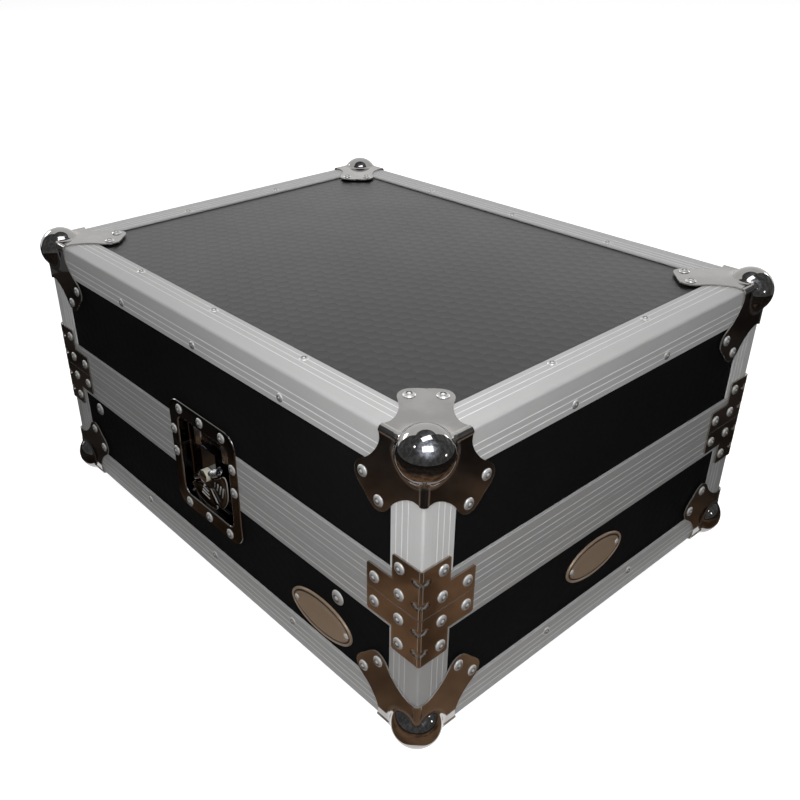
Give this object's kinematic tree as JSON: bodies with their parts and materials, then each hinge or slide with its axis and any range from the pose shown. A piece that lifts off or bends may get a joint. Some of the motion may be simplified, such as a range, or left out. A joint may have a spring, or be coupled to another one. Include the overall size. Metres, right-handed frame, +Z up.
{
  "type": "dj mixer flight case",
  "caption": "Black laminated flight case for a DJ mixer with aluminium edging, ball corners, corner braces, recessed butterfly latches and a lift-off lid over a foam-lined base.",
  "frame": {"origin": "centre of the plan, at the height of the lowest points of the four lower ball corners", "axes": "+X along the case's long side to the right seen from the front latch, +Y from the front latch to the back, +Z up"},
  "size_m": [0.553, 0.436, 0.279],
  "materials": {
    "laminate": "black laminate over plywood, embossed with a hexagon pattern",
    "aluminium": "satin anodised extrusion with fine grooves",
    "chrome": "bright plated pressed steel",
    "foam": "matt closed-cell foam",
    "badge_metal": "bare stamped plate with a raised rim",
    "spring_steel": "drawn wire"
  },
  "bodies": {
    "base": {"back_latch_base_dish": "chrome", "badge_front": "badge_metal", "badge_right": "badge_metal", "ball_corner_lower_back_left": "chrome", "ball_corner_lower_back_right": "chrome", "ball_corner_lower_front_left": "chrome", "ball_corner_lower_front_right": "chrome", "base_back_panel": "laminate", "base_corner_angle_back_left": "aluminium", "base_corner_angle_back_right": "aluminium", "base_corner_angle_front_left": "aluminium", "base_corner_angle_front_right": "aluminium", "base_edge_back": "aluminium", "base_edge_front": "aluminium", "base_edge_left": "aluminium", "base_edge_right": "aluminium", "base_floor_panel": "laminate", "base_foam_lining": "foam", "base_front_panel": "laminate", "base_left_panel": "laminate", "base_right_panel": "laminate", "base_valance": "aluminium", "brace_lower_back_left": "chrome", "brace_lower_back_right": "chrome", "brace_lower_front_left": "chrome", "brace_lower_front_right": "chrome", "front_latch_base_dish": "chrome"},
    "lid": {"back_latch_lid_dish": "chrome", "ball_corner_upper_back_left": "chrome", "ball_corner_upper_back_right": "chrome", "ball_corner_upper_front_left": "chrome", "ball_corner_upper_front_right": "chrome", "brace_upper_back_left": "chrome", "brace_upper_back_right": "chrome", "brace_upper_front_left": "chrome", "brace_upper_front_right": "chrome", "front_latch_lid_dish": "chrome", "lid_back_panel": "laminate", "lid_corner_angle_back_left": "aluminium", "lid_corner_angle_back_right": "aluminium", "lid_corner_angle_front_left": "aluminium", "lid_corner_angle_front_right": "aluminium", "lid_edge_back": "aluminium", "lid_edge_front": "aluminium", "lid_edge_left": "aluminium", "lid_edge_right": "aluminium", "lid_foam_lining": "foam", "lid_front_panel": "laminate", "lid_left_panel": "laminate", "lid_right_panel": "laminate", "lid_top_panel": "laminate", "lid_valance": "aluminium"},
    "front_spindle": {"front_latch_spindle": "chrome", "front_latch_spring": "spring_steel"},
    "front_wing": {"front_latch_wing": "chrome"},
    "front_hook": {"front_latch_hook": "chrome"},
    "back_spindle": {"back_latch_spindle": "chrome", "back_latch_spring": "spring_steel"},
    "back_wing": {"back_latch_wing": "chrome"},
    "back_hook": {"back_latch_hook": "chrome"}
  },
  "joints": [
    {"name": "lid_lift", "type": "slide", "parent": "base", "child": "lid", "axis": [0, 0, 1], "range_m": [0, 0.2]},
    {"name": "front_latch_twist", "type": "hinge", "parent": "base", "child": "front_spindle", "pos_m": [0, -0.208, 0.1195], "axis": [0, -1, 0], "range_deg": [0, 180]},
    {"name": "front_latch_wing_fold", "type": "hinge", "parent": "front_spindle", "child": "front_wing", "pos_m": [0, -0.2074, 0.1195], "axis": [-0.866, 0, -0.5], "range_deg": [0, 90], "stiffness_Nm_per_rad": 0.02, "springref_deg": -11.46},
    {"name": "front_latch_hook_draw", "type": "slide", "parent": "base", "child": "front_hook", "axis": [0, 1, 0], "range_m": [0, 0.0019]},
    {"name": "back_latch_twist", "type": "hinge", "parent": "base", "child": "back_spindle", "pos_m": [0, 0.208, 0.1195], "axis": [0, 1, 0], "range_deg": [0, 180]},
    {"name": "back_latch_wing_fold", "type": "hinge", "parent": "back_spindle", "child": "back_wing", "pos_m": [0, 0.2074, 0.1195], "axis": [0.866, 0, -0.5], "range_deg": [0, 90], "stiffness_Nm_per_rad": 0.02, "springref_deg": -11.46},
    {"name": "back_latch_hook_draw", "type": "slide", "parent": "base", "child": "back_hook", "axis": [0, -1, 0], "range_m": [0, 0.0019]}
  ],
  "couplings": [
    {"joint": "front_latch_hook_draw", "follows": "front_latch_twist", "m_per_rad": 0.000604},
    {"joint": "back_latch_hook_draw", "follows": "back_latch_twist", "m_per_rad": 0.000604}
  ]
}
